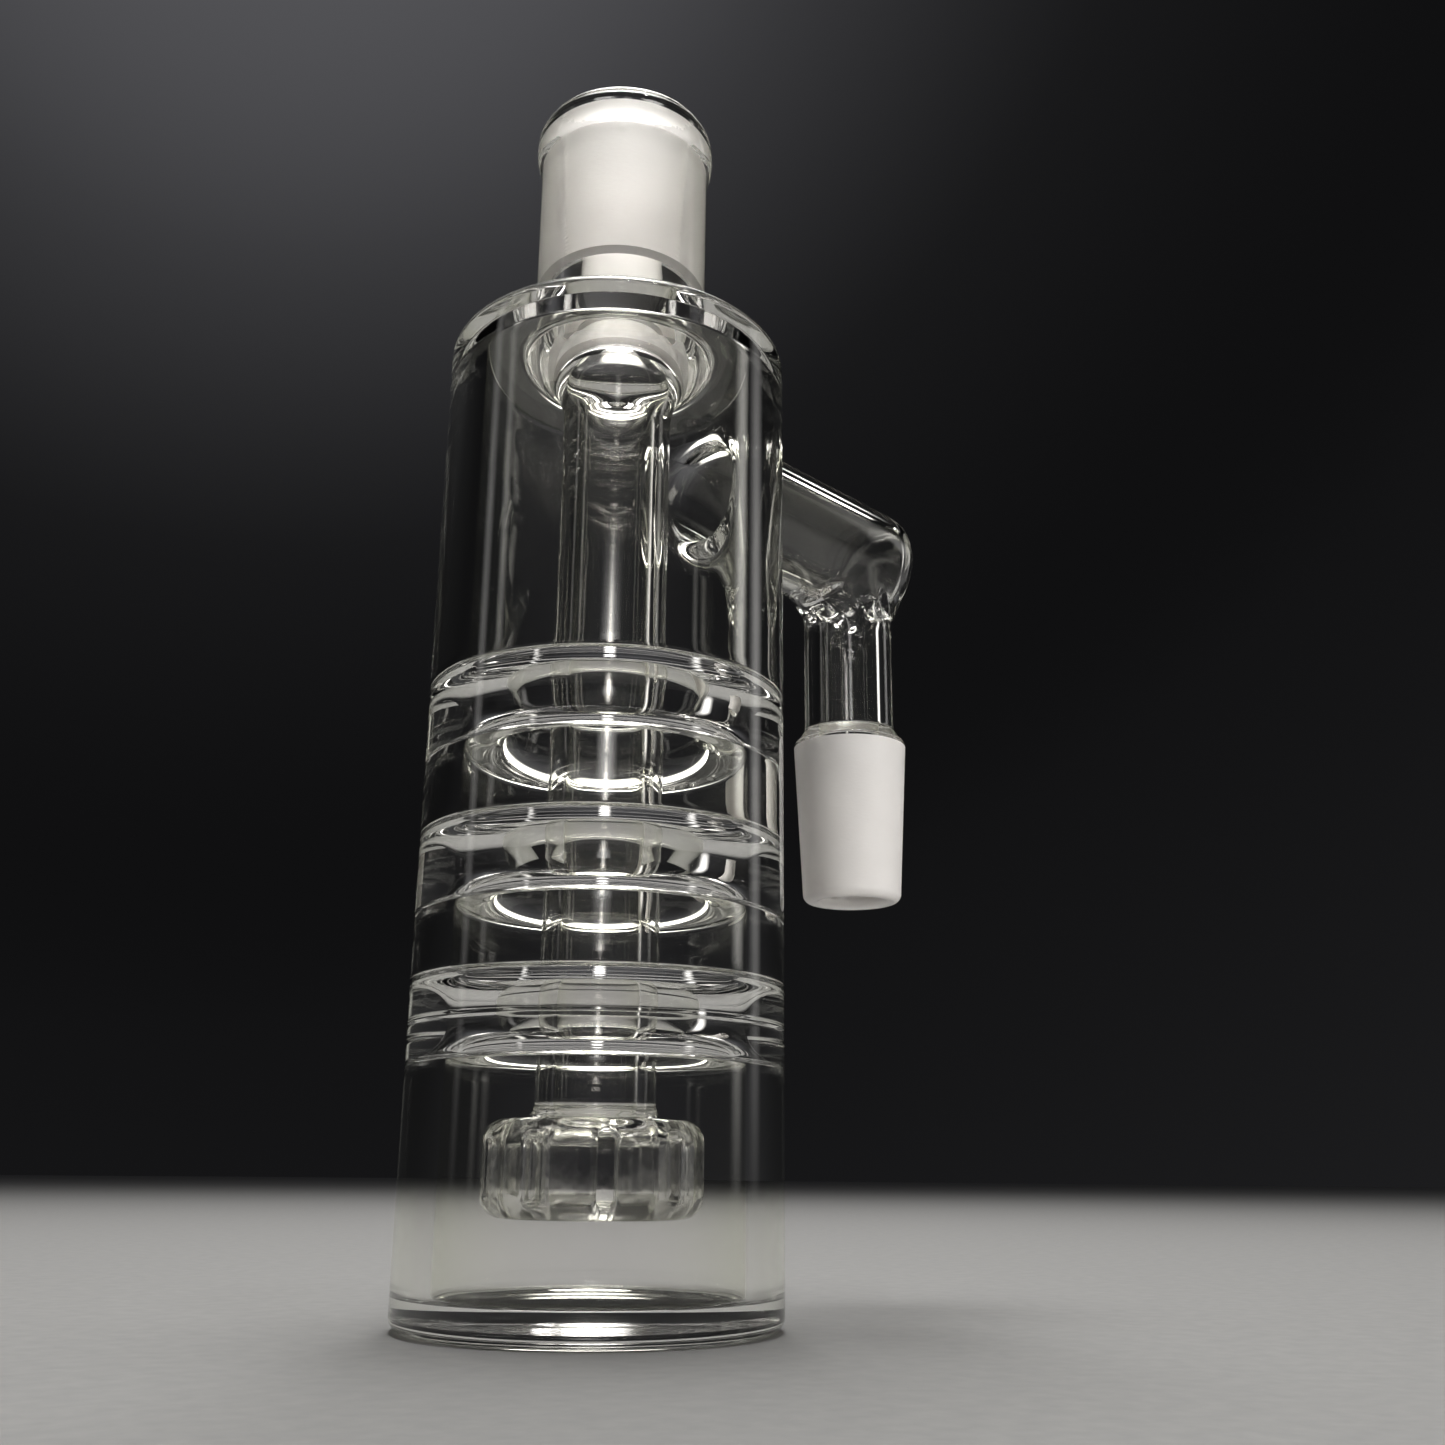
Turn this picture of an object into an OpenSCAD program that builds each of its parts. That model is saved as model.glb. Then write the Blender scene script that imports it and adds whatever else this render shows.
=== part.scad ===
// Percolating bubbler adapter in heavy-wall borosilicate glass.
// A straight cylinder with a foot disc and a flat top, three solid baffle rings, a ground socket
// with a downtube and a slotted percolator below it, and a side arm that drops to a ground cone.
// Frame: origin at the centre of the foot's underside, +Z up, +X along the side arm. Millimetres.

/* [Body] */
// Outside diameter of the heavy-wall body tube
body_od = 50; // [30:1:80]
// Wall of the body tube
body_wall = 5; // [2:0.5:8]
// Thickness of the foot disc
foot_t = 4; // [2:0.5:8]
// Rounding of the foot's lower edge
foot_round = 2; // [0.5:0.25:3.5]
// Height of the underside of the top plate
plate_z = 134.2; // [100:0.2:180]
// Thickness of the top plate
plate_t = 4; // [2:0.5:8]
// Rounding of the top plate's rim
plate_round = 2.4; // [0.5:0.1:3.5]

/* [Baffle rings] */
// Height of the lower ring's underside
ring_low_z = 33.2; // [25:0.2:45]
// Height of the middle ring's underside
ring_mid_z = 53.2; // [45:0.2:65]
// Height of the upper ring's underside
ring_up_z = 74.4; // [65:0.2:90]
// Thickness of each ring
ring_t = 10; // [5:0.5:14]
// Diameter of the hole through each ring
ring_hole = 27; // [20:0.5:36]
// Fire-polished rounding at the ring's hole
ring_round = 4.2; // [0.5:0.1:4.5]
// Height of the fused seam round the lower ring
seam_z = 37.5; // [34:0.1:43]

/* [Socket] */
// Outside diameter of the socket's wall
socket_od = 26; // [20:0.2:34]
// Height of the socket's lip
socket_top = 178.8; // [160:0.2:200]
// Height of the lower end of the ground bore
ground_z = 152; // [147:0.2:165]
// Bore at the lip
mouth_d = 19.6; // [14:0.1:24]
// Bore at the lower end of the ground zone
ground_d = 17.05; // [16.5:0.05:22]
// Height of the step where the ground bore ends
ledge_h = 0.7; // [0.5:0.1:2]
// Bore at the foot of that step
ledge_d = 13.4; // [10:0.2:16.4]
// Bore of the clear part where the downtube's flare begins
throat_d = 16; // [10:0.2:20]
// Height of the clear lip bead
bead_h = 7; // [3:0.5:10]
// Outside diameter of the lip bead
bead_od = 27.8; // [22:0.2:36]
// Radius of the bead's belly
bead_r = 4.4; // [3.6:0.1:5]
// Rounding of the mouth inside the lip
mouth_round = 1.2; // [0.4:0.1:2]

/* [Downtube and percolator] */
// Outside diameter of the downtube
tube_od = 16; // [8:0.5:20]
// Bore of the downtube
tube_bore = 11; // [6:0.5:16]
// Height of the lower end of the downtube's flare
flare_z = 126; // [115:0.5:132]
// Diameter of the flare where it meets the plate
flare_od = 28.4; // [18:0.2:36]
// Height of the percolator's underside
perc_z = 13.5; // [8:0.1:20]
// Height of the percolator's crown
perc_top = 25.7; // [20:0.1:32]
// Outside diameter of the percolator
perc_od = 29; // [20:0.5:36]
// Wall of the percolator
perc_wall = 3; // [1.5:0.25:5]
// Height of the weld collar above the crown
collar_h = 2.5; // [1:0.25:5]
// Number of slots
slots = 10; // [6:1:20]
// Width of one slot
slot_w = 2.2; // [1:0.1:6]
// Height of the lower end of the slots
slot_z0 = 15.6; // [14:0.1:20]
// Height of the upper end of the slots
slot_z1 = 23.4; // [18:0.1:26]
// Height of the skirt past each end of the slots
slot_margin = 0.4; // [0.4:0.1:1.5]
// Rounding of the crown's outer edge
crown_round = 1.8; // [0.5:0.1:2.2]
// Rounding of the floor's outer edge
floor_round = 1.6; // [0.5:0.1:2]

/* [Side arm and cone] */
// Height of the arm's axis
arm_z = 123.2; // [110:0.2:130]
// Outside diameter of the arm
arm_od = 20; // [14:0.5:24]
// Bore of the arm
arm_bore = 15.6; // [10:0.2:20]
// Distance from the body's axis to the stem's axis
arm_reach = 55.7; // [40:0.1:80]
// How far the closed end passes the stem's axis
arm_over = 8.2; // [7:0.1:14]
// Length of the arm's closed end
cap_l = 5; // [4:0.1:6]
// Wall of the arm's closed end
cap_wall = 2.2; // [1.5:0.1:3]
// Rounding of the closed end's rim
cap_round = 3.4; // [0.5:0.1:4]
// Outside diameter of the stem
stem_od = 15; // [10:0.5:20]
// Bore of the stem and the cone
stem_bore = 10; // [6:0.2:14]
// Height of the large end of the ground cone
cone_top = 88.4; // [80:0.2:100]
// Length of the ground cone
cone_len = 26.4; // [16:0.2:40]
// Large end of the ground cone
cone_d = 18.8; // [12:0.1:30]
// Height of the clear shoulder above the cone
shoulder_h = 2.9; // [1:0.1:6]

/* [Hidden] */
$fn = 96;
R = body_od / 2;
Ri = R - body_wall;
rh = ring_hole / 2;
ro = socket_od / 2;
rt = tube_od / 2;
rb = tube_bore / 2;
plate_top = plate_z + plate_t;
bead_z = socket_top - bead_h;
taper = (mouth_d - ground_d) / (socket_top - ground_z);
bead_bore = (mouth_d - bead_h * taper) / 2;
rp = perc_od / 2;
rpi = rp - perc_wall;
ra = arm_od / 2;
rab = arm_bore / 2;
rs = stem_od / 2;
rsb = stem_bore / 2;
cone_z = cone_top - cone_len;
rc = cone_d / 2;
rc_low = rc - cone_len / 20;
stem_z = cone_top + shoulder_h;
end_x = arm_reach + arm_over;
cap_x = end_x - cap_l;
// Length that is sure to reach through whatever is cut
through = 40;
clear = [0.86, 0.9, 0.86, 0.35];
ground = [0.9, 0.9, 0.88, 0.9];

// Node to draw

// A ring of rectangular section.
module band(r0, r1, z0, z1) {
  rotate_extrude() translate([r0, z0]) square([r1 - r0, z1 - z0]);
}

// A 2D corner of radius r, filling the quarter whose sharp tip is at the origin, to be cut away.
module corner(r, sx, sy) {
  scale([sx, sy]) difference() {
    translate([-0.1, -0.1]) square(r + 0.1);
    translate([r, r]) circle(r);
  }
}

// A tube along +X between two stations.
module x_tube(r0, r1, x0, x1) {
  translate([x0, 0, arm_z]) rotate([0, 90, 0]) difference() {
    cylinder(r = r1, h = x1 - x0);
    translate([0, 0, -1]) cylinder(r = r0, h = x1 - x0 + 2);
  }
}

module foot_disc() {
  color(clear) rotate_extrude() difference() {
    square([R, foot_t]);
    translate([R, 0]) corner(foot_round, -1, 1);
  }
}

module lower_wall() {
  color(clear) band(Ri, R, foot_t, ring_low_z);
}

// The half-section of one baffle ring, rounded at its hole.
module ring_profile(z) {
  difference() {
    translate([rh, z]) square([R - rh, ring_t]);
    translate([rh, z]) corner(ring_round, 1, 1);
    translate([rh, z + ring_t]) corner(ring_round, 1, -1);
  }
}

module baffle_lower() {
  color(clear) rotate_extrude() {
    ring_profile(ring_low_z);
    polygon([[R - 0.5, seam_z - 0.9], [R, seam_z - 0.5], [R + 0.2, seam_z], [R, seam_z + 0.5],
      [R - 0.5, seam_z + 0.9]]);
  }
}

module lower_spacer() {
  color(clear) band(Ri, R, ring_low_z + ring_t, ring_mid_z);
}

module baffle_middle() {
  color(clear) rotate_extrude() ring_profile(ring_mid_z);
}

module upper_spacer() {
  color(clear) band(Ri, R, ring_mid_z + ring_t, ring_up_z);
}

module baffle_upper() {
  color(clear) rotate_extrude() ring_profile(ring_up_z);
}

module upper_wall() {
  color(clear) difference() {
    band(Ri, R, ring_up_z + ring_t, plate_z);
    translate([0, 0, arm_z]) rotate([0, 90, 0]) cylinder(r = rab, h = through);
  }
}

module top_plate() {
  color(clear) rotate_extrude() difference() {
    translate([ro, plate_z]) square([R - ro, plate_t]);
    translate([R, plate_top]) corner(plate_round, -1, -1);
  }
}

module socket_root_weld() {
  color(clear) rotate_extrude() polygon([[ro, plate_top], [ro + 2.4, plate_top],
    [ro + 1.3, plate_top + 0.5], [ro + 0.5, plate_top + 1.4], [ro, plate_top + 3]]);
}

module socket() {
  color(ground) rotate_extrude() polygon([[throat_d / 2, plate_z], [ro, plate_z], [ro, bead_z],
    [bead_bore, bead_z], [ground_d / 2, ground_z], [ledge_d / 2, ground_z - ledge_h]]);
}

module socket_lip() {
  lip_r = mouth_d / 2;
  color(clear) rotate_extrude() difference() {
    union() {
      polygon([[bead_bore, bead_z], [ro, bead_z], [ro, socket_top - 2], [ro - 1.6, socket_top],
        [lip_r, socket_top]]);
      intersection() {
        translate([bead_od / 2 - bead_r, bead_z + bead_h / 2 + 0.5]) circle(bead_r);
        translate([lip_r, bead_z]) square([bead_od / 2 - lip_r, bead_h]);
      }
    }
    translate([lip_r, socket_top]) corner(mouth_round, 1, -1);
  }
}

module downtube_flare() {
  h = plate_z - flare_z;
  w = flare_od / 2 - rt;
  color(clear) rotate_extrude() polygon([[rb, flare_z], [rt, flare_z], [rt + 0.08 * w, flare_z + 0.4 * h],
    [rt + 0.26 * w, flare_z + 0.66 * h], [rt + 0.58 * w, flare_z + 0.86 * h], [rt + w, plate_z],
    [throat_d / 2, plate_z], [rb + 0.3, flare_z + 0.35 * h]]);
}

module downtube() {
  color(clear) band(rb, rt, perc_top + collar_h, flare_z);
}

module percolator_collar() {
  color(clear) rotate_extrude() polygon([[rb, perc_top], [rt + 1.2, perc_top],
    [rt + 0.5, perc_top + 0.6], [rt + 0.15, perc_top + collar_h], [rb, perc_top + collar_h]]);
}

module percolator_crown() {
  color(clear) rotate_extrude() difference() {
    translate([rb, slot_z1 + slot_margin]) square([rp - rb, perc_top - slot_z1 - slot_margin]);
    translate([rp, perc_top]) corner(crown_round, -1, -1);
  }
}

module percolator_skirt() {
  color(clear) difference() {
    band(rpi, rp, slot_z0 - slot_margin, slot_z1 + slot_margin);
    for (i = [0:slots - 1])
      rotate([0, 0, 360 * (i + 0.5) / slots])
        translate([rpi - 1, -slot_w / 2, slot_z0]) cube([perc_wall + 2, slot_w, slot_z1 - slot_z0]);
  }
}

module percolator_floor() {
  color(clear) rotate_extrude() difference() {
    translate([0, perc_z]) square([rp, slot_z0 - slot_margin - perc_z]);
    translate([rp, perc_z]) corner(floor_round, -1, 1);
  }
}

module side_arm() {
  color(clear) difference() {
    x_tube(rab, ra, Ri, cap_x);
    translate([0, 0, arm_z - through / 2]) cylinder(r = R, h = through);
    translate([arm_reach, 0, arm_z - ra - 1]) cylinder(r = rsb, h = ra);
  }
}

module side_arm_end() {
  color(clear) translate([cap_x, 0, arm_z]) rotate([0, 90, 0]) rotate_extrude() difference() {
    square([ra, cap_l]);
    translate([ra, cap_l]) corner(cap_round, -1, -1);
    difference() {
      translate([-0.1, -0.1]) square([rab + 0.1, cap_l - cap_wall + 0.1]);
      translate([rab, cap_l - cap_wall]) corner(cap_round - cap_wall, -1, -1);
    }
  }
}

module arm_root_weld() {
  color(clear) difference() {
    translate([0, 0, arm_z]) rotate([0, 90, 0]) rotate_extrude()
      polygon([[ra, 20], [ra + 2, 20], [ra + 2, R + 0.3], [ra + 1.3, R + 1.2], [ra + 0.5, R + 2.4],
        [ra, R + 4.2]]);
    translate([0, 0, arm_z - through / 2]) cylinder(r = R, h = through);
  }
}

module stem() {
  color(clear) difference() {
    band(rsb, rs, stem_z, arm_z);
    translate([-through / 2, 0, arm_z]) rotate([0, 90, 0]) cylinder(r = ra, h = through);
  }
}

module stem_root_weld() {
  low = arm_z - ra;
  color(clear) difference() {
    rotate_extrude() polygon([[rs, low - 6], [rs + 0.5, low - 3.4], [rs + 1.2, low - 1.2],
      [rs + 1.8, low + 0.6], [rs + 1.8, arm_z], [rs, arm_z]]);
    translate([-through / 2, 0, arm_z]) rotate([0, 90, 0]) cylinder(r = ra, h = through);
  }
}

module cone_shoulder() {
  color(clear) rotate_extrude() polygon([[rsb, cone_top], [rc, cone_top], [rc - 0.15, cone_top + 0.7],
    [rs + 0.9, stem_z - 0.9], [rs + 0.3, stem_z - 0.3], [rs, stem_z], [rsb, stem_z]]);
}

module cone_joint() {
  color(ground) rotate_extrude() difference() {
    polygon([[rsb, cone_z], [rc_low, cone_z], [rc, cone_top], [rsb, cone_top]]);
    translate([rc_low, cone_z]) corner(1.4, -1, 1);
  }
}

// The stem's column stands on its own axis at the end of the arm.
module at_stem() {
  translate([arm_reach, 0, 0]) children();
}

foot_disc();
lower_wall();
baffle_lower();
lower_spacer();
baffle_middle();
upper_spacer();
baffle_upper();
upper_wall();
top_plate();
socket_root_weld();
socket();
socket_lip();
downtube_flare();
downtube();
percolator_collar();
percolator_crown();
percolator_skirt();
percolator_floor();
arm_root_weld();
side_arm();
side_arm_end();
at_stem() stem_root_weld();
at_stem() stem();
at_stem() cone_shoulder();
at_stem() cone_joint();
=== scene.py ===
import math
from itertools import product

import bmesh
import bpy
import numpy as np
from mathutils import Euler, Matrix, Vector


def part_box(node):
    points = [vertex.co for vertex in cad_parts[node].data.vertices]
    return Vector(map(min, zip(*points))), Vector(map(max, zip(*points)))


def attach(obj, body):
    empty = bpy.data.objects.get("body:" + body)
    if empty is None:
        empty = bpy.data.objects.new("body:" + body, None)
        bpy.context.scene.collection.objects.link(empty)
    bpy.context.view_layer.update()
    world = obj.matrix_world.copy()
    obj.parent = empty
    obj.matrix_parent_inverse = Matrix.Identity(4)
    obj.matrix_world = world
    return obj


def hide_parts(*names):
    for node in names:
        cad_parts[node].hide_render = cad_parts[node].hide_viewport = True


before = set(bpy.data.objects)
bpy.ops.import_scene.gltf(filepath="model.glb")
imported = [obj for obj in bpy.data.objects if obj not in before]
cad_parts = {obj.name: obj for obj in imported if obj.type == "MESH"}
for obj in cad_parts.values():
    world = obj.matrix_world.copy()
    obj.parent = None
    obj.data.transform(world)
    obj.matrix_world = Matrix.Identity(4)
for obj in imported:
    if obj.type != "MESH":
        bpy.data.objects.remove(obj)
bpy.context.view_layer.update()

# A percolating bubbler adapter in heavy-wall borosilicate glass, fused from one end to the other.
# Every glass part is a closed mesh of its own. Where two parts are fused, the two faces that meet are
# left unseen, so that light crosses from one part to the next as it does inside one piece of glass.
# Turned parts are outlines carried round their axis. The arm, the welds and the percolator are cut
# out of distance fields, so that they run into each other as melted glass does.

MM = 0.001

# ---------------------------------------------------------------- sizes that the frame doesn't give
# Body
COLLAR = 2 * MM  # wall that stays with each ring, the foot and the plate
FILLET = 0.8 * MM  # melted corner where a ring meets the wall
FOOT_ROUND = 2 * MM
DIMPLE = 0.5 * MM  # depth of the hollow under the foot
DIMPLE_SHARE = 0.8  # of the foot's radius that is hollowed
PLATE_ROUND = 2.4 * MM
RING_ROUND = 4.2 * MM
RIDGE = 0.2 * MM  # how far the fused seam round the lower ring stands out
RIDGE_HEIGHT = 4.3 * MM  # of that seam above the ring's underside
RIDGE_WIDTH = 0.35 * MM  # from the seam's top to where it has fallen to about a third
RIDGE_REACH = 0.9 * MM  # from the seam's top to where it has run out

# Socket
LIP_EDGE = 1.4 * MM  # rounding of the lip's outer edge
BEAD_SQUARENESS = 3  # of the lip's bead, higher for a flatter side
BEAD_FULLNESS = 0.6  # of the lip's bead, lower for blunter ends
MOUTH = 1.7 * MM  # rounding of the clear mouth inside the lip
GROUND_LENGTH = 26.8 * MM  # of the socket's ground bore, down from the lip
GROUND_TAPER = 1 / 21  # of that bore, radius over length
LEDGE = 0.7 * MM  # height of the step where the ground bore ends
THROAT = 8 * MM  # bore radius where the downtube's flare begins

# Percolator
CROWN_ROUND = 2.8 * MM  # outer edges of the barrel
CHAMBER_ROUND = 1.8 * MM  # inner edges of the barrel
CROWN_MELT = 2.2 * MM  # outside, where the barrel meets the downtube
CHAMBER_MELT = 1.2 * MM  # inside, where the barrel meets the downtube
CHAMBER_OVERLAP = 3 * MM  # how far down into the barrel the downtube's bore begins
CROWN_RISE = 0.3 * MM  # of the cut between crown and collar above the CAD's, clear of the flat top
SLOTS = 10
SLOT_WIDTH = 2.2 * MM
SLOT_ROUND = 0.8 * MM  # corners at the ends of a slot
SLOT_POLISH = 0.7 * MM  # fire-polished edges of the slots
SLOT_INSIDE = 2.2 * MM  # how far inside the bore the slots begin
SLOT_SPARE = 0.2 * MM  # height of the skirt past each end of the slots

# Side arm and stem
ARM_END_ROUND = 3.4 * MM
ARM_END_WALL = 2.2 * MM
ARM_BORE_ROUND = 2 * MM
ROOT_START = 0.5 * MM  # from the wall to where the arm's root weld is taken to begin
ROOT_REACH = 4.5 * MM  # how far the arm's root weld runs out along the arm
STEM_ROOT_START = 0.4 * MM  # from the arm's underside to where the stem's root weld is taken to begin
STEM_ROOT = 6 * MM  # how far the stem's root weld runs down the stem
WALL_MELT = 4 * MM  # outside, where the arm meets the wall
WALL_BORE_MELT = 3 * MM  # inside, where the arm meets the wall
STEM_MELT = 5 * MM  # outside, where the stem meets the arm
STEM_BORE_MELT = 2.5 * MM  # inside, where the stem meets the arm
LUMP = 0.32 * MM  # height of the uneven waves in the weld where the stem meets the arm
LUMP_SPREAD = 2.6 * MM  # how far up and down the stem they run
LUMP_PITCH = 0.9 * MM  # height in which they turn by a radian
LUMP_TURN = 1.1  # radians between the two sets of waves

# Cone
CONE_TAPER = 1 / 20  # radius over length
CONE_EDGE = 1.4 * MM
SHOULDER_ROUND = 1.5 * MM
SHOULDER_TURN = 62  # degrees that the shoulder's round goes through
SHOULDER_HOLLOW = 1.2 * MM  # radius of the hollow curve between the shoulder and the stem
SHOULDER_RISE = 0.4 * MM  # of that curve's centre above the end of the stem

# ---------------------------------------------------------------- how finely the glass is made
SEGMENTS = 224  # round a turned piece
ARC_STEPS = 8  # along an arc of an outline
RIDGE_POINTS = 13
BEAD_POINTS = 25
FLARE_POINTS = 13
SHARP_ANGLE = 28  # degrees between two faces, past which the edge between them shades as a sharp one
WALL_CELL = 0.7 * MM  # grid of the upper wall's distance field
ARM_CELL = 0.5 * MM
PERCOLATOR_CELL = 0.3 * MM
GRID_START = 1.37  # cells from a box's corner to its grid, an odd share so that flat faces miss the grid
BOX_SPARE = 1.5  # cells of glass kept past each cut until it is made
SLOPE_STEP = 0.01 * MM  # distance over which a field's gradient is taken
SETTLE_STEPS = 6  # that a point takes towards the surface
LEAST_SLOPE = 0.05  # squared, the least that such a step is divided by, so that none runs away
NO_SLOPE = 1e-9  # a gradient this short points nowhere
SLIVER = 0.01  # in millimetres, an edge too short to keep beside a cut
CUT_OFF_ROUND = 1 * MM  # of a rod's ends that are cut off or melted in, where it doesn't show
RUN_ON = 9 * MM  # how far such a rod runs on past where it is cut off
PERCOLATOR_ROOM = 1 * MM  # empty space beside the percolator in its box
ARM_ROOM = 3 * MM  # empty space beside the arm in its boxes
ARM_END_ROOM = 2 * MM  # empty space past the arm's end in its box


# ---------------------------------------------------------------- places, read from the frame
def corners_of(name):
    """Every corner of a CAD node."""
    return np.array([v.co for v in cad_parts[name].data.vertices])


def turned(name, axis_x=0.0):
    """Bore radius, outer radius, low and high of a CAD node about an upright axis."""
    points = corners_of(name)
    radii = np.hypot(points[:, 0] - axis_x, points[:, 1])
    return radii.min(), radii.max(), points[:, 2].min(), points[:, 2].max()


body_bore, body_r, _, _ = turned("lower_wall")
foot_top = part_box("foot_disc")[1].z
plate_hole, _, plate_low, plate_high = turned("top_plate")
_, weld_r, _, weld_high = turned("socket_root_weld")
ledge_r, socket_r, _, bead_low = turned("socket")
bead_bore, bead_r, _, socket_top = turned("socket_lip")
_, flare_r, flare_low, _ = turned("downtube_flare")
tube_bore, tube_r, collar_high, _ = turned("downtube")
skirt_bore, skirt_r, skirt_low, skirt_high = turned("percolator_skirt")
percolator_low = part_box("percolator_floor")[0].z
percolator_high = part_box("percolator_crown")[1].z
arm_low, arm_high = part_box("side_arm")
arm_z = (arm_low.z + arm_high.z) / 2
arm_r = (arm_high.z - arm_low.z) / 2
arm_corners = corners_of("side_arm")
arm_bore = np.hypot(arm_corners[:, 1], arm_corners[:, 2] - arm_z).min()
arm_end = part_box("side_arm_end")[1].x
cap_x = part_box("side_arm_end")[0].x
stem_x = (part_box("stem")[0].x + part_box("stem")[1].x) / 2
stem_bore, stem_r, stem_low, _ = turned("stem", stem_x)
_, cone_r, cone_low, cone_high = turned("cone_joint", stem_x)
root_x = body_r + ROOT_START
arm_root_x = body_r + ROOT_REACH
stem_root_high = arm_z - arm_r - STEM_ROOT_START
stem_root_low = arm_z - arm_r - STEM_ROOT


# ---------------------------------------------------------------- materials
GLASS_IOR = 1.474  # borosilicate
CLEAR_TONES = (0.995, 0.99, 0.985), (0.985, 0.98, 0.97)
EDGE_TINT = (0.86, 0.90, 0.62)
GROUND_TONES = (0.93, 0.905, 0.885), (0.98, 0.955, 0.935)
PAPER_TONES = (0.36, 0.36, 0.36), (0.40, 0.40, 0.395)
USUAL_NOISE = 0.3, 0.7  # the range that a noise seldom leaves


def shader(name):
    """A new material and its Principled node."""
    material = bpy.data.materials.new(name)
    material.use_nodes = True
    return material, material.node_tree.nodes["Principled BSDF"]


def node(material, kind, **inputs):
    """A node of that kind, with plain values on the inputs named."""
    made = material.node_tree.nodes.new(kind)
    for name, value in inputs.items():
        made.inputs[name.replace("_", " ")].default_value = value
    return made


def noise(material, size, stretch=(1, 1, 1), detail=3):
    """Noise on the object's own coordinates, with patches of about that size, drawn out by stretch."""
    links = material.node_tree.links
    coordinates = node(material, "ShaderNodeTexCoord")
    mapping = node(material, "ShaderNodeMapping", Scale=[1 / s for s in stretch])
    texture = node(material, "ShaderNodeTexNoise", Scale=1 / size, Detail=detail)
    links.new(coordinates.outputs["Object"], mapping.inputs["Vector"])
    links.new(mapping.outputs["Vector"], texture.inputs["Vector"])
    return texture.outputs["Fac"]


def spread(material, source, low, high):
    """A value from low to high as a noise goes from its usual least to its usual most."""
    least, most = USUAL_NOISE
    ranged = node(material, "ShaderNodeMapRange", From_Min=least, From_Max=most, To_Min=low, To_Max=high)
    material.node_tree.links.new(source, ranged.inputs["Value"])
    return ranged.outputs["Result"]


def mixed(material, factor, *colours):
    """A colour between two as the factor goes from 0 to 1, each a plain colour or a node's output."""
    mix = node(material, "ShaderNodeMix")
    mix.data_type = "RGBA"
    links = material.node_tree.links
    links.new(factor, mix.inputs["Factor"])
    colour_inputs = [socket for socket in mix.inputs if socket.type == "RGBA"]
    for socket, colour in zip(colour_inputs, colours):
        if isinstance(colour, tuple):
            socket.default_value = (*colour, 1)
        else:
            links.new(colour, socket)
    return next(socket for socket in mix.outputs if socket.type == "RGBA")


def two_tones(material, source, tones):
    """A colour between two tones, as a noise goes from its usual least to its usual most."""
    return mixed(material, spread(material, source, 0, 1), *tones)


def bump(material, shade, source, height):
    """Raises the surface by up to that height where the source is high."""
    raised = node(material, "ShaderNodeBump", Strength=1, Distance=height)
    material.node_tree.links.new(source, raised.inputs["Height"])
    material.node_tree.links.new(raised.outputs["Normal"], shade.inputs["Normal"])


def clear_glass(name, haze, grain, drawn_out, relief):
    """Polished borosilicate: near white through its thickness and yellow-green where it is seen edge on.
    The grain is the low relief left by working it, drawn out upwards on tubing."""
    material, shade = shader(name)
    links = material.node_tree.links
    shade.inputs["Transmission Weight"].default_value = 1
    shade.inputs["IOR"].default_value = GLASS_IOR
    through = two_tones(material, noise(material, size=14 * MM, stretch=(1, 1, 2)), CLEAR_TONES)
    edge_on = node(material, "ShaderNodeLayerWeight", Blend=0.2)
    tinted = mixed(material, edge_on.outputs["Facing"], through, EDGE_TINT)
    links.new(tinted, shade.inputs["Base Color"])
    smears = noise(material, size=9 * MM)
    links.new(spread(material, smears, low=0, high=haze), shade.inputs["Roughness"])
    ripple = noise(material, size=grain, stretch=(1, 1, drawn_out), detail=1)
    bump(material, shade, ripple, height=relief)
    return material


def ground_glass(name):
    """The matt white of a ground joint: fine grain, faint rings from the grinding, cloudy patches."""
    material, shade = shader(name)
    links = material.node_tree.links
    shade.inputs["Transmission Weight"].default_value = 0.5
    shade.inputs["IOR"].default_value = GLASS_IOR
    cloud = noise(material, size=6 * MM)
    links.new(two_tones(material, cloud, GROUND_TONES), shade.inputs["Base Color"])
    grain = noise(material, size=0.5 * MM)
    links.new(spread(material, grain, low=0.5, high=0.66), shade.inputs["Roughness"])
    rings = noise(material, size=0.3 * MM, stretch=(3, 3, 1))
    bump(material, shade, rings, height=0.02 * MM)
    return material


def fused_seam():
    """Unseen, for faces where two parts of the glass are melted into one."""
    material, shade = shader("fused_seam")
    shade.inputs["Alpha"].default_value = 0
    return material


def studio_floor():
    """Pale matt paper with a slight unevenness."""
    material, shade = shader("studio_floor")
    links = material.node_tree.links
    fibre = noise(material, size=3 * MM)
    links.new(two_tones(material, fibre, PAPER_TONES), shade.inputs["Base Color"])
    shade.inputs["Roughness"].default_value = 0.7
    return material


FINISHES = {
    "wall": clear_glass("clear_glass", haze=0.012, grain=2.5 * MM, drawn_out=14, relief=0.001 * MM),
    "thick": clear_glass("thick_clear_glass", haze=0.012, grain=4 * MM, drawn_out=1, relief=0.001 * MM),
    "worked": clear_glass("flame_worked_glass", haze=0.16, grain=1.6 * MM, drawn_out=1.5, relief=0.02 * MM),
    "ground": ground_glass("ground_glass"),
    "seam": fused_seam(),
}


# ---------------------------------------------------------------- making a piece
def finish_piece(name, mesh, finishes, nodes):
    """Puts a finished mesh in the scene as the piece that stands for those CAD nodes."""
    for finish in finishes:
        mesh.materials.append(FINISHES[finish])
    piece = bpy.data.objects.new(name, mesh)
    bpy.context.scene.collection.objects.link(piece)
    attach(piece, "root")
    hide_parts(*nodes)


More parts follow.
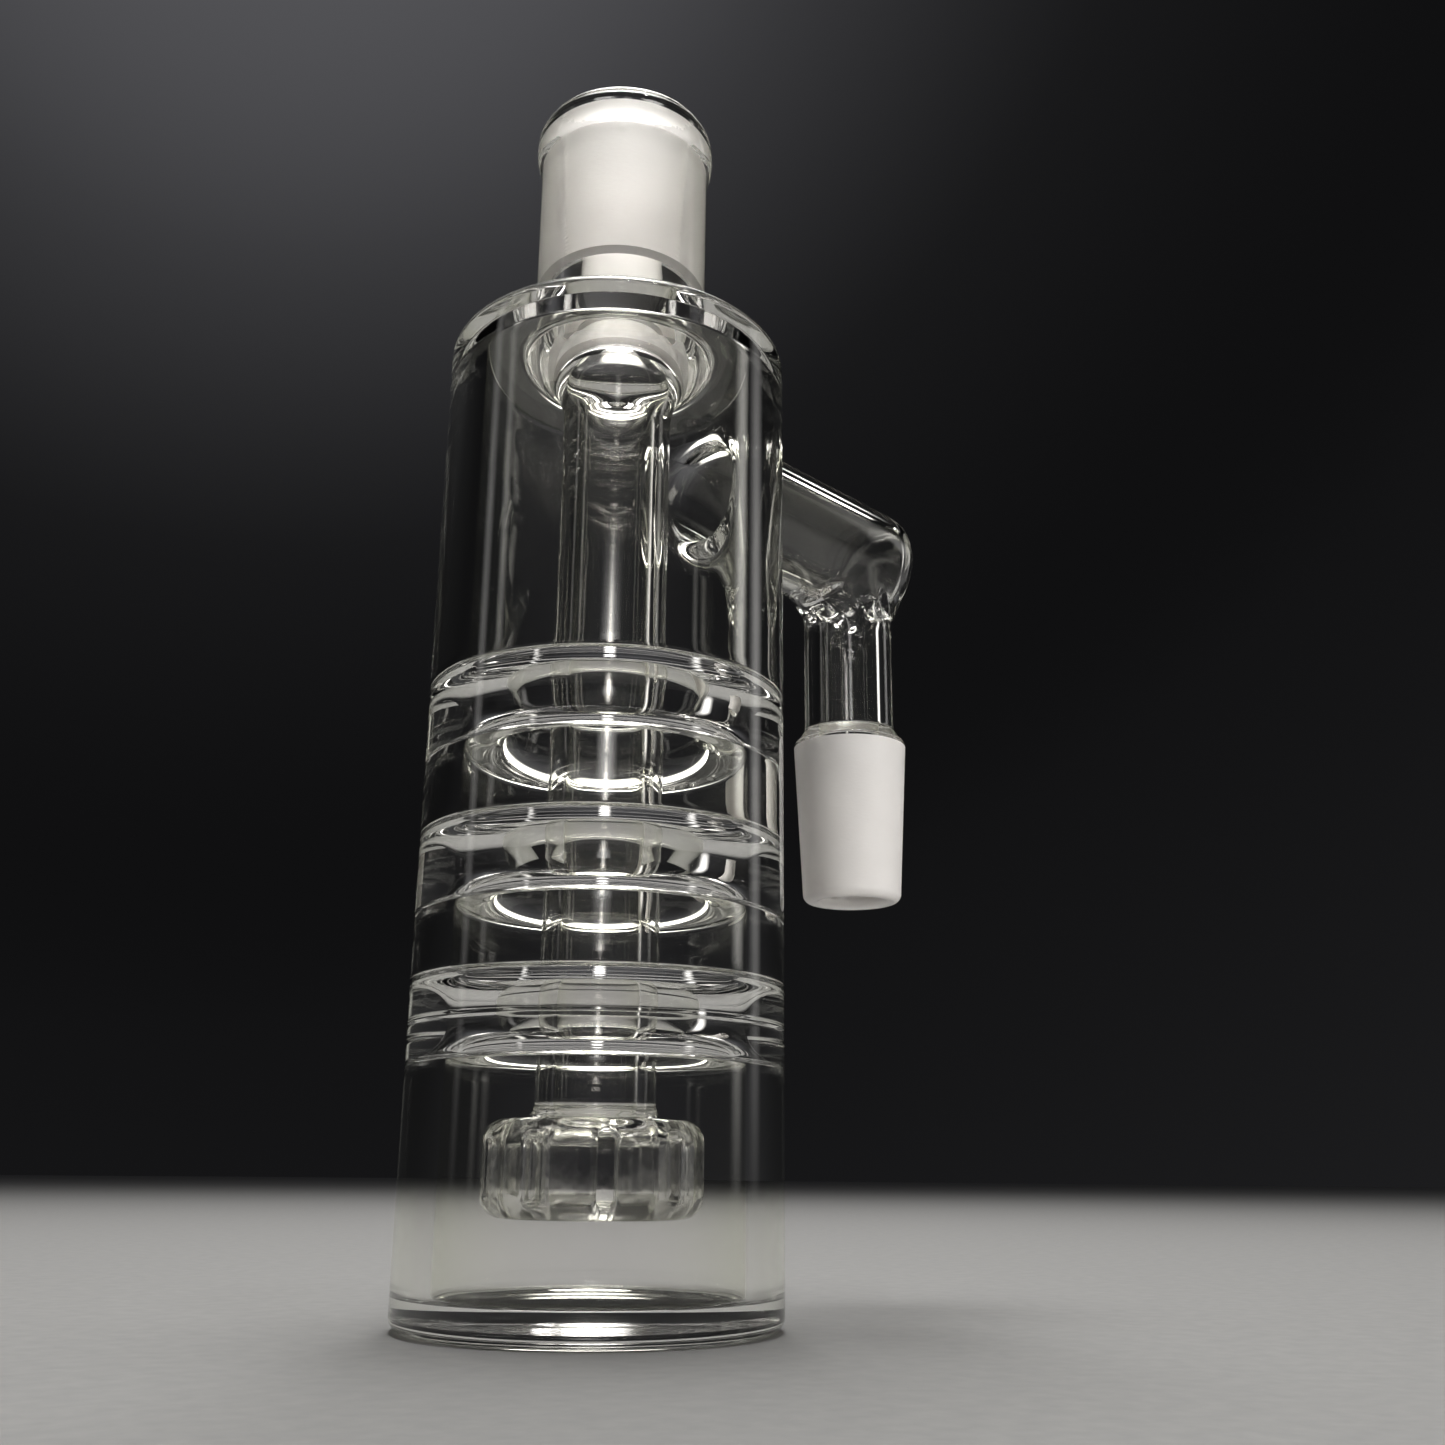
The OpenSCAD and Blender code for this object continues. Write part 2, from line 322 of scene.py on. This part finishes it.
def arc(centre, radius, start, stop, finish):
    """Points of an outline round a centre, from one angle to another, in degrees."""
    angles = np.radians(np.linspace(start, stop, ARC_STEPS + 1))
    return [(centre[0] + radius * math.cos(a), centre[1] + radius * math.sin(a), finish) for a in angles]


def revolve(name, outline, nodes, axis_x=0.0):
    """A closed turned piece. The outline is a loop of radius, height and the finish of the stretch that
    starts there, anticlockwise as seen with the axis on the left."""
    finishes = sorted({finish for _, _, finish in outline})
    turns = np.arange(SEGMENTS) * math.tau / SEGMENTS
    vertices, rows = [], []
    for radius, height, _ in outline:
        angles = turns if radius > 0 else turns[:1]
        rows.append([len(vertices) + i % len(angles) for i in range(SEGMENTS + 1)])
        vertices += [(axis_x + radius * math.cos(a), radius * math.sin(a), height) for a in angles]
    faces, kinds = [], []
    for here, (_, _, finish) in enumerate(outline):
        low, high = rows[here], rows[(here + 1) % len(rows)]
        for i in range(SEGMENTS):
            corners = list(dict.fromkeys([low[i], low[i + 1], high[i + 1], high[i]]))
            if len(corners) > 2:
                faces.append(corners)
                kinds.append(finishes.index(finish))
    mesh = bpy.data.meshes.new(name)
    mesh.from_pydata(vertices, [], faces)
    mesh.polygons.foreach_set("material_index", kinds)
    mesh.polygons.foreach_set("use_smooth", [True] * len(faces))
    mesh.set_sharp_from_angle(angle=math.radians(SHARP_ANGLE))
    finish_piece(name, mesh, finishes, nodes)


def slope(field, points):
    """The gradient of a field at each point."""
    sides = [SLOPE_STEP * axis for axis in np.eye(3)]
    return np.stack([(field(points + s) - field(points - s)) / (2 * SLOPE_STEP) for s in sides], -1)


def settle(field, points, cell):
    """Moves points onto the surface where the field is zero."""
    for _ in range(SETTLE_STEPS):
        steep = slope(field, points)
        squared = np.maximum((steep**2).sum(-1, keepdims=True), LEAST_SLOPE)
        move = -field(points)[:, None] * steep / squared
        points = points + move.clip(-cell, cell)
    return points


def boxed(field, low, high):
    """The field, ended at the sides of a box."""
    low, high = np.array(low), np.array(high)
    return lambda points: np.maximum(field(points), np.maximum(low - points, points - high).max(-1))


def surface(field, low, high, cell):
    """Points and quads of the closed surface where the field is zero, inside a box: one point in each
    cell of a grid that the surface crosses, and one quad across each grid line that it crosses."""
    axes = [np.arange(a - GRID_START * cell, b + 2 * cell, cell) for a, b in zip(low, high)]
    field = boxed(field, low, high)
    inside = field(np.stack(np.meshgrid(*axes, indexing="ij"), -1)) < 0
    ends = [slice(None, -1), slice(1, None)]
    corners = sum(inside[a, b, c].astype(int) for a, b, c in product(ends, repeat=3))
    crossed = (corners > 0) & (corners < 8)
    order = np.full(crossed.shape, -1)
    order[crossed] = np.arange(crossed.sum())
    centres = np.stack([axes[i][index] + cell / 2 for i, index in enumerate(np.nonzero(crossed))], -1)
    quads = []
    for axis in range(3):
        axis_first = [axis, (axis + 1) % 3, (axis + 2) % 3]
        turned_inside = np.moveaxis(inside, axis_first, [0, 1, 2])
        turned_order = np.moveaxis(order, axis_first, [0, 1, 2])
        first, second = turned_inside[:-1, 1:-1, 1:-1], turned_inside[1:, 1:-1, 1:-1]
        for starts_inside in (True, False):
            i, j, k = np.nonzero((first == starts_inside) & (second != starts_inside))
            ring = [turned_order[i, j, k], turned_order[i, j + 1, k],
                    turned_order[i, j + 1, k + 1], turned_order[i, j, k + 1]]
            quads.append(np.stack(ring if starts_inside else ring[::-1], -1))
    return settle(field, centres, cell), np.concatenate(quads)


def close_cut(shape, place, outward):
    """Cuts off what lies beyond a plane and closes the opening with faces of the second material."""
    everything = shape.verts[:] + shape.edges[:] + shape.faces[:]
    bmesh.ops.bisect_plane(shape, geom=everything, plane_co=place, plane_no=outward, clear_outer=True)
    bmesh.ops.remove_doubles(shape, verts=shape.verts, dist=SLIVER)
    on_plane = {v for v in shape.verts if abs((v.co - place).dot(outward)) < SLIVER}
    rim = [e for e in shape.edges if e.is_boundary and on_plane.issuperset(e.verts)]
    filled = bmesh.ops.triangle_fill(shape, edges=rim, use_beauty=True, normal=outward)["geom"]
    for face in filled:
        if isinstance(face, bmesh.types.BMFace):
            face.material_index = 1
            face.normal_update()
            if face.normal.dot(outward) < 0:
                face.normal_flip()


def cast(name, field, low, high, cuts, cell, finish, nodes):
    """A closed piece of a field inside a box. Each cut is a point and an outward direction: the glass
    beyond it is another piece, and the faces left there are fused seams. Cuts are made at a thousand
    times the size, because Blender's fill takes very short edges for none."""
    spare = BOX_SPARE * cell
    points, quads = surface(field, [a - spare for a in low], [b + spare for b in high], cell)
    mesh = bpy.data.meshes.new(name)
    mesh.from_pydata((points / MM).tolist(), [], quads.tolist())
    shape = bmesh.new()
    shape.from_mesh(mesh)
    for place, outward in cuts:
        close_cut(shape, Vector(place) / MM, outward)
    bmesh.ops.scale(shape, vec=(MM, MM, MM), verts=shape.verts)
    shape.to_mesh(mesh)
    shape.free()
    where = np.array([v.co for v in mesh.vertices], float)
    steep = slope(field, where)
    steep /= np.maximum(np.linalg.norm(steep, axis=-1, keepdims=True), NO_SLOPE)
    normals = np.zeros((len(mesh.loops), 3))
    for polygon in mesh.polygons:
        for loop in polygon.loop_indices:
            corner = mesh.loops[loop].vertex_index
            normals[loop] = polygon.normal if polygon.material_index else steep[corner]
    mesh.polygons.foreach_set("use_smooth", [True] * len(mesh.polygons))
    mesh.normals_split_custom_set(normals)
    finish_piece(name, mesh, [finish, "seam"], nodes)


def rod(along, across, low, high, radius, edge):
    """Distance to a rod, or to a slot seen flat, with rounded ends: along is a place on its axis, across
    the distance from it."""
    side = across - (radius - edge)
    end = np.abs(along - (low + high) / 2) - ((high - low) / 2 - edge)
    outside = np.hypot(np.maximum(side, 0), np.maximum(end, 0))
    return np.minimum(np.maximum(side, end), 0) + outside - edge


def melt(first, second, width):
    """The two shapes run into each other over that width."""
    near = np.maximum(width - np.abs(first - second), 0) / width
    return np.minimum(first, second) - near * near * width / 4


# ---------------------------------------------------------------- the body
def tube(name, bore, outer, low, high, finish, nodes, axis_x=0.0):
    """A plain stretch of tubing, fused at both ends."""
    outline = [(bore, low, "seam"), (outer, low, finish), (outer, high, "seam"), (bore, high, finish)]
    revolve(name, outline, nodes, axis_x)


def foot():
    """The foot disc, with a shallow hollow underneath and the start of the wall round it."""
    corner = (body_bore - FILLET, foot_top + FILLET)
    hollow = [(body_r * share, DIMPLE * math.cos(math.pi / 2 * share / DIMPLE_SHARE), "thick")
              for share in np.linspace(DIMPLE_SHARE, 0, ARC_STEPS + 1)][::-1]
    outline = (hollow
               + arc((body_r - FOOT_ROUND, FOOT_ROUND), FOOT_ROUND, -90, 0, "thick")
               + [(body_r, foot_top + COLLAR, "seam"), (body_bore, foot_top + COLLAR, "thick")]
               + arc(corner, FILLET, 0, -90, "thick")
               + [(0, foot_top, "thick")])
    revolve("glass_foot", outline, ["foot_disc"])


def seam_ridge(middle):
    """Points of the fused seam that stands out a little round the wall."""
    return [(body_r + RIDGE * math.exp(-((rise / RIDGE_WIDTH) ** 2)), middle + rise, "thick")
            for rise in np.linspace(-RIDGE_REACH, RIDGE_REACH, RIDGE_POINTS)]


def baffle(ring, low, high, hole):
    """One baffle ring, with the stretches of wall that it is fused to above and below."""
    inner = body_bore - FILLET
    ridge = seam_ridge(low + RIDGE_HEIGHT) if ring == "baffle_lower" else []
    outline = ([(body_bore, low - COLLAR, "seam"), (body_r, low - COLLAR, "thick")]
               + ridge
               + [(body_r, high + COLLAR, "seam"), (body_bore, high + COLLAR, "thick")]
               + arc((inner, high + FILLET), FILLET, 0, -90, "thick")
               + arc((hole + RING_ROUND, high - RING_ROUND), RING_ROUND, 90, 180, "thick")
               + arc((hole + RING_ROUND, low + RING_ROUND), RING_ROUND, 180, 270, "thick")
               + arc((inner, low - FILLET), FILLET, 90, 0, "thick"))
    revolve("glass_" + ring, outline, [ring])


def top_plate():
    """The flat top, with the rim of the wall below it."""
    corner = (body_bore - FILLET, plate_low - FILLET)
    outline = ([(plate_hole, plate_low, "seam"), (flare_r, plate_low, "thick")]
               + arc(corner, FILLET, 90, 0, "thick")
               + [(body_bore, plate_low - COLLAR, "seam"), (body_r, plate_low - COLLAR, "thick")]
               + arc((body_r - PLATE_ROUND, plate_high - PLATE_ROUND), PLATE_ROUND, 0, 90, "thick")
               + [(weld_r, plate_high, "seam"), (plate_hole, plate_high, "seam")])
    revolve("glass_top_plate", outline, ["top_plate"])


def socket_root():
    """The weld bead round the socket's foot, a hollow curve from the plate up to the socket."""
    width, height = weld_r - socket_r, weld_high - plate_high
    curve = [(weld_r - width * math.sin(a), weld_high - height * math.cos(a), "wall")
             for a in np.linspace(0, math.pi / 2, ARC_STEPS + 1)]
    outline = [(socket_r, plate_high, "seam")] + curve[:-1] + [(socket_r, weld_high, "seam")]
    revolve("glass_socket_root", outline, ["socket_root_weld"])


def socket():
    """The socket: clear outside, with a ground bore that ends in a step above the clear throat."""
    ground_low = socket_top - GROUND_LENGTH
    ground_r = bead_bore - (bead_low - ground_low) * GROUND_TAPER
    outline = [
        (THROAT, plate_low, "seam"),
        (socket_r, plate_low, "seam"),
        (socket_r, weld_high, "wall"),
        (socket_r, bead_low, "seam"),
        (bead_bore, bead_low, "ground"),
        (ground_r, ground_low, "ground"),
        (ledge_r, ground_low - LEDGE, "wall"),
    ]
    revolve("glass_socket", outline, ["socket"])


def socket_lip():
    """The clear bead at the mouth, over the top of the ground bore."""
    ground_high = socket_top - MOUTH
    ground_r = bead_bore + (ground_high - bead_low) * GROUND_TAPER
    belly, height = bead_r - socket_r, socket_top - LIP_EDGE - bead_low
    bulge = [(socket_r + belly * (1 - abs(2 * rise - 1) ** BEAD_SQUARENESS) ** BEAD_FULLNESS,
              bead_low + height * rise, "wall")
             for rise in np.linspace(0, 1, BEAD_POINTS)]
    outline = ([(bead_bore, bead_low, "seam")]
               + bulge[:-1]
               + arc((socket_r - LIP_EDGE, socket_top - LIP_EDGE), LIP_EDGE, 0, 90, "wall")
               + arc((ground_r + MOUTH, ground_high), MOUTH, 90, 180, "wall")[:-1]
               + [(ground_r, ground_high, "ground")])
    revolve("glass_socket_lip", outline, ["socket_lip"])


def downtube_flare():
    """The trumpet that joins the downtube to the socket and the plate."""
    height, width = plate_low - flare_low, flare_r - tube_r
    quarter = np.linspace(0, math.pi / 2, FLARE_POINTS)
    trumpet = [(tube_r + width * (1 - math.cos(a)), flare_low + height * math.sin(a), "wall")
               for a in quarter]
    cup = THROAT - tube_bore
    bore = [(tube_bore + cup * math.sin(a) ** 2, flare_low + height * a / (math.pi / 2), "wall")
            for a in quarter[::-1]]
    outline = trumpet[:-1] + [(flare_r, plate_low, "seam")] + bore[:-1] + [(tube_bore, flare_low, "seam")]
    revolve("glass_downtube_flare", outline, ["downtube_flare"])


def body():
    """The foot, the wall, the three rings and the top, from the floor up."""
    foot()
    floor_z = foot_top
    walls = ["lower_wall", "lower_spacer", "upper_spacer"]
    for wall, ring in zip(walls, ["baffle_lower", "baffle_middle", "baffle_upper"]):
        hole, _, low, high = turned(ring)
        tube("glass_" + wall, body_bore, body_r, floor_z + COLLAR, low - COLLAR, "wall", [wall])
        baffle(ring, low, high, hole)
        floor_z = high
    top_plate()
    socket_root()
    socket()
    socket_lip()
    downtube_flare()
    tube("glass_downtube", tube_bore, tube_r, collar_high, flare_low, "wall", ["downtube"])
    return floor_z


# Outward directions of cuts: upwards, downwards, out along the side arm and back towards the axis
UP, DOWN = Vector((0, 0, 1)), Vector((0, 0, -1))
OUT, BACK = Vector((1, 0, 0)), Vector((-1, 0, 0))


# ---------------------------------------------------------------- the percolator
def percolator_glass(points):
    """Distance field of the percolator: a hollow barrel with fire-polished slots round its side."""
    z = points[..., 2]
    across = np.hypot(points[..., 0], points[..., 1])
    turn = np.arctan2(points[..., 1], points[..., 0])
    pitch = math.tau / SLOTS
    aside = across * np.sin((turn % pitch) - pitch / 2)  # from the middle of the nearest slot
    tube_end = collar_high + RUN_ON
    barrel = rod(z, across, percolator_low, percolator_high, skirt_r, CROWN_ROUND)
    downtube = rod(z, across, skirt_low, tube_end, tube_r, CUT_OFF_ROUND)
    chamber = rod(z, across, skirt_low, skirt_high, skirt_bore, CHAMBER_ROUND)
    bore = rod(z, across, skirt_high - CHAMBER_OVERLAP, tube_end, tube_bore, CUT_OFF_ROUND)
    slot = rod(z, np.abs(aside), skirt_low, skirt_high, SLOT_WIDTH / 2, SLOT_ROUND)
    slot = np.maximum(slot, skirt_bore - SLOT_INSIDE - across)
    opening = melt(melt(chamber, bore, CHAMBER_MELT), slot, SLOT_POLISH)
    return -melt(-melt(barrel, downtube, CROWN_MELT), opening, SLOT_POLISH)


def percolator():
    """The percolator in the four parts that it was welded up from."""
    floor_high, crown_low = skirt_low - SLOT_SPARE, skirt_high + SLOT_SPARE
    crown_high = percolator_high + CROWN_RISE
    levels = [
        ("glass_percolator_floor", "percolator_floor", percolator_low, floor_high),
        ("glass_percolator_skirt", "percolator_skirt", floor_high, crown_low),
        ("glass_percolator_crown", "percolator_crown", crown_low, crown_high),
        ("glass_percolator_collar", "percolator_collar", crown_high, collar_high),
    ]
    reach = skirt_r + PERCOLATOR_ROOM
    for name, cad_node, low, high in levels:
        cuts = [((0, 0, high), UP)]
        if low > percolator_low:
            cuts.append(((0, 0, low), DOWN))
        cast(name, percolator_glass, (-reach, -reach, low), (reach, reach, high), cuts,
             PERCOLATOR_CELL, "worked", [cad_node])


# ---------------------------------------------------------------- the side arm
def arm_glass(points):
    """Distance field of the upper wall, the side arm and the stem, melted together."""
    x, y, z = points[..., 0], points[..., 1], points[..., 2]
    from_axis = np.hypot(x, y)
    from_arm = np.hypot(y, z - arm_z)
    from_stem = np.hypot(x - stem_x, y)
    turn = np.arctan2(y, x - stem_x)
    weld = np.exp(-(((z - arm_z + arm_r) / LUMP_SPREAD) ** 2))
    seven_waves = np.sin(7 * turn + LUMP_TURN)
    three_waves = np.sin(3 * turn + z / LUMP_PITCH)
    lumps = LUMP * weld * seven_waves * three_waves
    stem_end = stem_low - RUN_ON
    arm = rod(x, from_arm, 0, arm_end, arm_r, ARM_END_ROUND)
    stem = rod(z, from_stem, stem_end, arm_z, stem_r, CUT_OFF_ROUND) + lumps
    outside = melt(melt(arm, stem, STEM_MELT), from_axis - body_r, WALL_MELT)
    arm_hollow = rod(x, from_arm, 0, arm_end - ARM_END_WALL, arm_bore, ARM_BORE_ROUND)
    stem_hollow = rod(z, from_stem, stem_end, arm_z, stem_bore, CUT_OFF_ROUND) - lumps
    hollow = melt(melt(arm_hollow, stem_hollow, STEM_BORE_MELT), from_axis - body_bore, WALL_BORE_MELT)
    return np.maximum(outside, -hollow)


def side_arm(chamber_low):
    """The upper wall with its side arm and stem, cut into the parts that they were welded up from."""
    low, high = chamber_low + COLLAR, plate_low - COLLAR
    cast("glass_upper_wall", arm_glass, (-body_r, -body_r, low), (root_x, body_r, high),
         [((0, 0, high), UP), ((0, 0, low), DOWN), ((root_x, 0, 0), OUT)],
         WALL_CELL, "wall", ["upper_wall"])
    reach = arm_r + ARM_ROOM
    floor_z, roof_z = arm_z - reach, arm_z + reach
    cast("glass_arm_root", arm_glass, (root_x, -reach, floor_z), (arm_root_x, reach, roof_z),
         [((root_x, 0, 0), BACK), ((arm_root_x, 0, 0), OUT)],
         ARM_CELL, "wall", ["arm_root_weld"])
    above_stem = ((0, 0, stem_root_high), DOWN)
    cast("glass_side_arm", arm_glass, (arm_root_x, -reach, stem_root_high), (cap_x, reach, roof_z),
         [((arm_root_x, 0, 0), BACK), ((cap_x, 0, 0), OUT), above_stem],
         ARM_CELL, "wall", ["side_arm"])
    past_end = arm_end + ARM_END_ROOM
    cast("glass_side_arm_end", arm_glass, (cap_x, -reach, stem_root_high), (past_end, reach, roof_z),
         [((cap_x, 0, 0), BACK), above_stem],
         ARM_CELL, "wall", ["side_arm_end"])
    cast("glass_stem_root", arm_glass,
         (stem_x - reach, -reach, stem_root_low), (stem_x + reach, reach, stem_root_high),
         [((0, 0, stem_root_high), UP), ((0, 0, stem_root_low), DOWN)],
         ARM_CELL, "wall", ["stem_root_weld"])
    tube("glass_stem", stem_bore, stem_r, stem_low, stem_root_low, "wall", ["stem"], stem_x)


def cone():
    """The clear shoulder and the ground cone at the foot of the stem."""
    shoulder = arc((cone_r - SHOULDER_ROUND, cone_high), SHOULDER_ROUND, 0, SHOULDER_TURN, "wall")
    hollow_centre = (stem_r + SHOULDER_HOLLOW, stem_low + SHOULDER_RISE)
    shoulder += arc(hollow_centre, SHOULDER_HOLLOW, 230, 180, "wall")
    outline = ([(stem_bore, cone_high, "seam")] + shoulder[:-1]
               + [(stem_r, stem_low, "seam"), (stem_bore, stem_low, "wall")])
    revolve("glass_cone_shoulder", outline, ["cone_shoulder"], stem_x)
    foot_r = cone_r - (cone_high - cone_low) * CONE_TAPER
    outline = (arc((stem_bore + CONE_EDGE, cone_low + CONE_EDGE), CONE_EDGE, 180, 270, "ground")
               + arc((foot_r - CONE_EDGE, cone_low + CONE_EDGE), CONE_EDGE, -90, 0, "ground")
               + [(cone_r, cone_high, "seam"), (stem_bore, cone_high, "wall")])
    revolve("glass_cone", outline, ["cone_joint"], stem_x)


# ---------------------------------------------------------------- studio
LAMP_COLOUR = (1, 0.98, 0.955)
GLOW_TOWARDS = (0.27, 0.58, 0.77)  # the lighter part of the backdrop, high on the camera's left
# The cosine of the angle from that direction, and how light the backdrop is there
BACKDROP_SHADES = [(-0.6, 0.08), (0.1, 0.02), (0.7, 0.003), (0.88, 0.006), (0.95, 0.03), (1.0, 0.11)]
BACKDROP_BLUE = 1.08  # blue over grey in the backdrop
CAMERA_BEARING = 227.6  # of the camera from the body's axis, in degrees from +X
CAMERA_AWAY = 8.164  # in body radii
CAMERA_HEIGHT = 0.770  # in body radii
CAMERA_HEADING = 43.0  # in degrees from +X
CAMERA_PITCH = 16.79  # upwards
CAMERA_ROLL = 0.5
CAMERA_LENS = 37.2


def floor():
    """A wide round sheet of pale paper under the object."""
    mesh = bpy.data.meshes.new("floor")
    shape = bmesh.new()
    bmesh.ops.create_circle(shape, cap_ends=True, radius=4, segments=96)
    shape.to_mesh(mesh)
    shape.free()
    mesh.materials.append(studio_floor())
    sheet = bpy.data.objects.new("floor", mesh)
    bpy.context.scene.collection.objects.link(sheet)


def fade_to_edges(light):
    """Makes a rectangular lamp brightest in its middle and dark at its edges. The rise from each edge to
    the middle averages a half, so it goes up to 2 and the total power stays the same."""
    light.use_nodes = True
    nodes, links = light.node_tree.nodes, light.node_tree.links
    place = nodes.new("ShaderNodeNewGeometry")
    split = nodes.new("ShaderNodeSeparateXYZ")
    links.new(place.outputs["Parametric"], split.inputs["Vector"])
    strength = nodes.new("ShaderNodeMath")
    strength.operation = "MULTIPLY"
    for i, side in enumerate("XY"):
        across = nodes.new("ShaderNodeMath")
        across.operation = "PINGPONG"
        across.inputs[1].default_value = 0.5
        smooth = nodes.new("ShaderNodeMapRange")
        smooth.interpolation_type = "SMOOTHSTEP"
        smooth.inputs["From Max"].default_value = 0.5
        smooth.inputs["To Max"].default_value = 2
        links.new(split.outputs[side], across.inputs[0])
        links.new(across.outputs["Value"], smooth.inputs["Value"])
        links.new(smooth.outputs["Result"], strength.inputs[i])
    links.new(strength.outputs["Value"], nodes["Emission"].inputs["Strength"])


def lamp(name, place, target, size, power, mirrored=True, only=None):
    """A soft rectangular lamp that faces the target. It may be kept out of what surfaces mirror, and it
    may light only a collection of pieces."""
    light = bpy.data.lights.new(name, "AREA")
    light.shape = "RECTANGLE"
    light.size, light.size_y = size
    light.energy = power
    light.color = LAMP_COLOUR
    fade_to_edges(light)
    made = bpy.data.objects.new(name, light)
    made.location = place
    made.rotation_euler = (Vector(target) - Vector(place)).to_track_quat("-Z", "Y").to_euler()
    made.visible_camera = False
    made.visible_glossy = mirrored
    made.light_linking.receiver_collection = only
    bpy.context.scene.collection.objects.link(made)


def backdrop():
    """A dark surround, a little lighter high up on the left as seen by the camera and on the far side
    from there."""
    world = bpy.data.worlds.new("backdrop")
    world.use_nodes = True
    nodes, links = world.node_tree.nodes, world.node_tree.links
    coordinates = nodes.new("ShaderNodeTexCoord")
    towards = nodes.new("ShaderNodeVectorMath")
    towards.operation = "DOT_PRODUCT"
    towards.inputs[1].default_value = Vector(GLOW_TOWARDS).normalized()
    shades = nodes.new("ShaderNodeValToRGB")
    shades.color_ramp.interpolation = "B_SPLINE"
    while len(shades.color_ramp.elements) < len(BACKDROP_SHADES):
        shades.color_ramp.elements.new(0.5)
    for element, (place, shade) in zip(shades.color_ramp.elements, BACKDROP_SHADES):
        element.position = (place + 1) / 2
        element.color = (shade, shade, shade * BACKDROP_BLUE, 1)
    links.new(coordinates.outputs["Generated"], towards.inputs[0])
    share = nodes.new("ShaderNodeMapRange")
    share.inputs["From Min"].default_value = -1
    links.new(towards.outputs["Value"], share.inputs["Value"])
    links.new(share.outputs["Result"], shades.inputs["Fac"])
    links.new(shades.outputs["Color"], nodes["Background"].inputs["Color"])
    bpy.context.scene.world = world


def group(name, pieces):
    """A collection of pieces, for a lamp to light and nothing else."""
    made = bpy.data.collections.new(name)
    for piece in pieces:
        made.objects.link(bpy.data.objects[piece])
    return made


def lights(middle):
    """Soft light from overhead and behind, dim tall boxes at the sides, two small downlights, a fill from
    each side of the camera for the ground glass, and a lamp that draws the bright line along the arm.
    Places and sizes are in metres and powers in watts."""
    ground_pieces = group("ground_pieces", ["glass_socket", "glass_socket_lip", "glass_cone"])
    arm_pieces = group("arm_pieces", ["glass_side_arm", "glass_side_arm_end", "glass_arm_root"])
    lamp("top_back", (0.42, 0.42, 0.9), middle, (0.4, 0.4), 2)
    lamp("overhead", (0.05, 0.08, 1.1), middle, (0.8, 0.8), 9)
    lamp("front", (-0.8, -0.88, 0.4), middle, (0.35, 0.5), 1.4, mirrored=False)
    lamp("left_fill", (-1.2, -0.3, 0.2), middle, (0.9, 0.6), 14, mirrored=False, only=ground_pieces)
    lamp("right_fill", (-0.1, -1.2, 0.2), middle, (0.9, 0.6), 14, mirrored=False, only=ground_pieces)
    lamp("arm_top", (1.0, 0.02, 1.1), middle, (0.16, 0.16), 0.3, only=arm_pieces)
    lamp("right_box", (0.75, -0.35, 0.35), middle, (0.25, 0.9), 0.36)
    lamp("left_box", (-0.55, 0.45, 0.35), middle, (0.12, 0.9), 0.12)
    for number, aside in enumerate((-0.06, 0.06)):
        place = (-0.1 + aside, -0.3 - aside, 1.0)
        lamp(f"downlight_{number + 1}", place, middle, (0.04, 0.04), 0.5)


def camera():
    """The camera low in front of the object, looking up at it."""
    data = bpy.data.cameras.new("camera")
    data.lens = CAMERA_LENS
    data.clip_start = 0.01
    eye = bpy.data.objects.new("camera", data)
    bearing = math.radians(CAMERA_BEARING)
    away = CAMERA_AWAY * body_r
    eye.location = (away * math.cos(bearing), away * math.sin(bearing), CAMERA_HEIGHT * body_r)
    heading = Euler((math.radians(90 + CAMERA_PITCH), 0, math.radians(CAMERA_HEADING - 90)))
    roll = Euler((0, 0, math.radians(CAMERA_ROLL)))
    eye.rotation_euler = (heading.to_matrix() @ roll.to_matrix()).to_euler()
    bpy.context.scene.collection.objects.link(eye)
    bpy.context.scene.camera = eye


def light_paths():
    """Plain display of the light, and enough bounces for it to come out of glass behind glass."""
    bpy.context.scene.view_settings.view_transform = "Standard"
    cycles = bpy.context.scene.cycles
    cycles.max_bounces = 32
    cycles.transmission_bounces = 32
    cycles.glossy_bounces = 16
    cycles.transparent_max_bounces = 96


chamber_low = body()
percolator()
side_arm(chamber_low)
cone()
floor()
backdrop()
lights((0, 0, (plate_high + foot_top) / 2))
camera()
light_paths()
